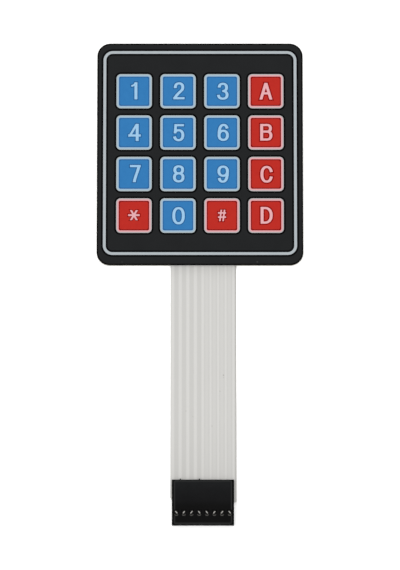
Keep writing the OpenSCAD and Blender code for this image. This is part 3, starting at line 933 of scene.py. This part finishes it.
def sign_6(w, h):
    """A closed bowl, and a stroke from the bowl's left side up over the head to the right."""
    y = 1.95
    left = STEM / 2
    bowl = oval(w / 2, y, w / 2 - left, y - BAR / 2, 0, 360)
    top = (w / 2 + 0.12, h - BAR / 2)
    head = bend((w - 0.6, h - 1.62), (w - 0.78, h - 0.62), (w - 1.3, h - BAR / 2), top)
    back = bend(top, (1.0, h - BAR / 2), (left, h - 1.5), (left, y))
    return [pen(bowl), pen(head, back)]


def sign_7(w, h):
    """A level head and a long stroke that bends a little on its way down to the left."""
    leg = bend((w - 0.56, h), (w - 0.75, h - 2.0), (1.75, 2.2), (1.45, 0))
    return [pen([(0, h - BAR / 2), (w, h - BAR / 2)]), slant(leg)]


def sign_8(w, h):
    """A smaller closed bowl on a larger one, with one shared stroke between them."""
    waist = 0.53 * h
    up = (h - BAR / 2 - waist) / 2
    down = (waist - BAR / 2) / 2
    r = (w - STEM) / 2
    upper = oval(w / 2, waist + up, r - 0.14, up, 0, 360)
    lower = oval(w / 2, waist - down, r, down, 0, 360)
    return [pen(upper), pen(lower)]


def sign_9(w, h):
    """The six turned half round."""
    return [(np.array([w, h]) - a, np.array([w, h]) - b) for a, b in sign_6(w, h)]


def sign_0(w, h):
    """One tall closed oval."""
    return [pen(oval(w / 2, h / 2, (w - STEM) / 2, (h - BAR) / 2, 0, 360, TALL_FULLNESS))]


print("digits drawn:", sum(name.startswith("sign_") for name in list(globals())))

# %% [markdown]
# ## Letters and marks
# The four letters are drawn with the digits' pen. The star and the hash are smaller and have thinner strokes.

# %% Letters and marks


def sign_a(w, h):
    """Two slanted legs that meet at a flat head, and a bar."""
    legs = [slant([(w / 2, h), (x, 0)], 0.98) for x in (0.5, w - 0.5)]
    return [*legs, pen([(0.9, 2.15), (w - 0.9, 2.15)])]


def bowl_right(left, x, w, low, high):
    """A level stroke out from the upright, half an oval round to the right and a level stroke back."""
    turn = oval(x, (low + high) / 2, w - STEM / 2 - x, (high - low) / 2, 90, -90)
    return pen([(left, high)], turn, [(left, low)])


def sign_b(w, h):
    """An upright with a smaller bowl above a larger one."""
    x = STEM / 2
    waist = 3.13
    upper = bowl_right(x, 2.3, w - 0.16, waist, h - BAR / 2)
    return [pen([(x, 0), (x, h)]), upper, bowl_right(x, 2.35, w, BAR / 2, waist)]


def sign_c(w, h):
    """A tall oval with a gap at the right."""
    return [pen(oval(w / 2, h / 2, (w - STEM) / 2, (h - BAR) / 2, 15, 345, TALL_FULLNESS))]


def sign_d(w, h):
    """An upright with one bowl of its full height."""
    x = STEM / 2
    return [pen([(x, 0), (x, h)]), bowl_right(x, 1.5, w, BAR / 2, h - BAR / 2)]


def sign_star(w, h):
    """Three strokes through one point, one of them level."""
    arm = 0.63
    lean = np.radians(60)
    x = h / 2 / np.tan(lean)
    crossed = [slant([(w / 2 + s * x, h), (w / 2 - s * x, 0)], arm / np.sin(lean)) for s in (-1, 1)]
    return [pen([(0, h / 2), (w, h / 2)], bar=arm), *crossed]


def sign_hash(w, h):
    """Two leaning strokes and two level ones."""
    thick = 0.5
    leaning = [slant([(x + 0.26, h), (x - 0.26, 0)], thick) for x in (0.33 * w, 0.72 * w)]
    return [*leaning, *(pen([(0.05, y), (w - 0.05, y)], bar=thick) for y in (0.35 * h, 0.72 * h))]


print("signs drawn:", sum(name.startswith("sign_") for name in list(globals())))

# %% [markdown]
# ## Print the legends
# The table gives each key's sign, with its box and the centre of the box from the centre of the key. The
# screen was a little out of register, so most signs sit to the right of the middle. Under each sign lies a
# slightly wider coat of the key's deeper colour, which shows as a fine line round the sign and keeps it
# crisp. The line is widest round the letters and thinnest round the two small signs.

# %% Legends
DIGIT_HEIGHT = 5.95
LETTER_HEIGHT = 5.8
SMALL_HEIGHTS = {"star": 3.45, "hash": 3.95}
LETTERS = ("a", "b", "c", "d")
DIGIT_KEYLINE = 0.34
LETTER_KEYLINE = 0.42
SMALL_KEYLINE = 0.32
INK_COAT = 0.015
KEYLINE_COAT = 0.005
# Each row of keys from the left: the name, the strokes, the width, and the shift to the right and up.
LEGENDS = [
    [("1", sign_1, 2.05, 0.05, 0.15), ("2", sign_2, 3.9, 0.35, 0.15), ("3", sign_3, 3.9, 0.3, 0.0),
     ("a", sign_a, 4.4, 0.05, 0.0)],
    [("4", sign_4, 4.3, 0.1, 0.05), ("5", sign_5, 3.85, 0.2, -0.05), ("6", sign_6, 3.8, 0.45, 0.05),
     ("b", sign_b, 4.1, 0.15, 0.1)],
    [("7", sign_7, 3.6, 0.45, 0.15), ("8", sign_8, 3.9, 0.25, 0.05), ("9", sign_9, 3.85, 0.4, -0.05),
     ("c", sign_c, 4.2, 0.25, -0.1)],
    [("star", sign_star, 3.85, 0.0, 0.15), ("0", sign_0, 4.2, 0.2, -0.05),
     ("hash", sign_hash, 2.8, 0.0, 0.05), ("d", sign_d, 4.05, 0.2, 0.1)],
]


def height_and_keyline(name):
    """A sign's height and the width of its keyline."""
    if name in SMALL_HEIGHTS:
        return SMALL_HEIGHTS[name], SMALL_KEYLINE
    if name in LETTERS:
        return LETTER_HEIGHT, LETTER_KEYLINE
    return DIGIT_HEIGHT, DIGIT_KEYLINE


outlines = {"blue": [], "red": []}
for column, row in every_key:
    name, strokes, width, right, up = LEGENDS[row][column]
    height, growth = height_and_keyline(name)
    corner = key_centre(column, row) + np.array([right, up]) - np.array([width, height]) / 2
    colour = "red" if (column, row) in red_keys else "blue"
    ink = red_legend if colour == "red" else blue_legend
    drawn = [(a + corner, b + corner) for a, b in strokes(width, height)]
    outlines[colour].append(join_strokes([swell(stroke, growth) for stroke in drawn]))
    coat = thicken(*join_strokes(drawn), face_z, face_z + INK_COAT)
    piece = make_piece(f"legend_{name}", *coat, ink, "silver_print")
    sides = np.ptp(coat[0], axis=0)[:2]
    print(piece.name, sides.round(2), "mm,", round(volume(piece), 3), "cubic mm")

for colour, ink, slot in (("blue", blue_keyline, "blue_print"), ("red", red_keyline, "red_print")):
    starts = np.cumsum([0] + [len(flat) for flat, _ in outlines[colour]])
    flat = np.concatenate([flat for flat, _ in outlines[colour]])
    triangles = np.concatenate([part + start for (_, part), start in zip(outlines[colour], starts)])
    coat = thicken(flat, triangles, face_z, face_z + KEYLINE_COAT)
    piece = make_piece(f"legend_keylines_{colour}", *coat, ink, slot)
    print(piece.name, len(triangles), "triangles on top,", round(volume(piece), 3), "cubic mm")

# %% [markdown]
# ## Track ridges
# Silver ink has a thickness, so each track lifts the film above it into a very low ridge along the tail. The
# ridge is a flat-topped bump carried along the film's own surface, which is read off the solid's corners.

# %% Track ridges
RIDGE_WIDTH = 1.7
RIDGE_HEIGHT = 0.012
RIDGE_SINK = 0.02
RIDGE_TUCK = 0.001
RIDGE_POINTS = 13
UNDER_PAD = 1
INTO_SOCKET = 5

film = solids["upper_circuit_film"].data
corners = np.empty(3 * len(film.vertices))
film.vertices.foreach_get("co", corners)
corners = corners.reshape(-1, 3) / MM
on_tail = (corners[:, 1] < pad_low[1] + UNDER_PAD) & (corners[:, 1] > housing_back - INTO_SOCKET)
stations, where = np.unique(corners[on_tail, 1].round(3), return_inverse=True)
film_top = np.full(len(stations), -np.inf)
np.maximum.at(film_top, where, corners[on_tail, 2])
print(len(stations), "stations from y", stations[-1], "to", stations[0])
print("film's top from", film_top.min().round(3), "to", film_top.max().round(3))


def ridge(x):
    """A bump carried along the film: at a share s of the half width it stands height (1 - s^4)^2 above the
    film's top, tucked in by a hair at its sides, and its floor lies a little below the film's top."""
    s = np.linspace(-1, 1, RIDGE_POINTS)
    rise = RIDGE_HEIGHT * (1 - s ** 4) ** 2
    across = np.concatenate([s, s[[-1, 0]]]) * RIDGE_WIDTH / 2
    up = np.concatenate([rise - RIDGE_TUCK, [-RIDGE_SINK, -RIDGE_SINK]])
    shape = (len(stations), len(across))
    px = np.broadcast_to(x + across[None, :], shape)
    py = np.broadcast_to(stations[:, None], shape)
    pz = film_top[:, None] + up[None, :]
    points = np.stack([px, py, pz], axis=-1).reshape(-1, 3)
    quads = grid_quads(*shape, False)
    start = np.arange(shape[1])
    end = start + (shape[0] - 1) * shape[1]
    return points, [*quads.tolist(), start[::-1].tolist(), end.tolist()]


for number, x in enumerate(contact_x, 1):
    piece = make_piece(f"track_ridge_{number}", *ridge(x), upper_white, "circuit_film")
    print(piece.name, "at x", round(x, 2), round(volume(piece), 3), "cubic mm")

# %% [markdown]
# ## Floor and light
# The floor is an opal white table, faintly lit from within as a product table is, in a bright even surround,
# which keeps the shadows short and soft. Three soft lamps stand high at the back and at the sides. None of
# them stands where the flat face would mirror it into the camera, so the black stays black. Each lamp's
# power is worked out from the share of full white that it should give a level surface.

# %% Floor and light
FLOOR_SIZE = 6.0
FLOOR_GAP = 0.01
TABLE_GLOW = 0.2
LAMP_DISTANCE = 3.0
LAMP_SIZE = 1.8
SURROUND = 0.88

floor_mesh = bpy.data.meshes.new("floor")
side = FLOOR_SIZE / 2
level = -FLOOR_GAP * MM
around = [(-side, -side, level), (side, -side, level), (side, side, level), (-side, side, level)]
floor_mesh.from_pydata(around, [], [(0, 1, 2, 3)])
opal = plain_finish("opal_white_table", "#FAFAF9", "#F8F8F7", 60, (0.7, 0.8), 2, 0.01, IOR=1.45,
                    Emission_Color=linear("#FFFFFF"), Emission_Strength=TABLE_GLOW)
floor_mesh.materials.append(opal)
floor = bpy.data.objects.new("floor", floor_mesh)
bpy.context.scene.collection.objects.link(floor)
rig.stage(floor)


def soft_light(name, azimuth, elevation, share):
    """A square lamp aimed at the keypad. A level white surface gets share of full white from a power of
    share pi^2 d^2 / sin(elevation)."""
    a, e = np.radians([azimuth, elevation])
    way = np.array([np.sin(a) * np.cos(e), -np.cos(a) * np.cos(e), np.sin(e)])
    lamp = bpy.data.lights.new(name, "AREA")
    lamp.shape = "SQUARE"
    lamp.size = LAMP_SIZE
    lamp.energy = share * np.pi ** 2 * LAMP_DISTANCE ** 2 / np.sin(e)
    light = bpy.data.objects.new(name, lamp)
    light.location = VIEW_AIM + LAMP_DISTANCE * way
    light.rotation_mode = "QUATERNION"
    light.rotation_quaternion = Vector(-way).to_track_quat("-Z", "Y")
    bpy.context.scene.collection.objects.link(light)


soft_light("back_light", 200, 50, 0.20)
soft_light("left_light", 285, 52, 0.16)
soft_light("right_light", 75, 52, 0.15)

world = bpy.data.worlds.new("studio")
world.use_nodes = True
world.node_tree.nodes.clear()
even = {"Color": linear("#FFFFFF"), "Strength": SURROUND}
sky = add(world.node_tree, "ShaderNodeBackground", None, even)
add(world.node_tree, "ShaderNodeOutputWorld", None, {"Surface": sky.outputs[0]})
bpy.context.scene.world = world
bpy.context.scene.view_settings.view_transform = "Standard"
print("lights:", [(o.name, round(o.data.energy, 1)) for o in bpy.context.scene.objects if o.type == "LIGHT"])

# %% [markdown]
# ## Sizes
# The dressed keypad has to keep the size of the solids, so both boxes are written down before the end.

# %% Finish
bpy.context.view_layer.update()
boxes = {"cad": [list(corner) for corner in cad_box], "visual": [list(corner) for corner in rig.bounds()]}
with open("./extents.json", "w") as sizes:
    json.dump(boxes, sizes)
print("boxes:", boxes)
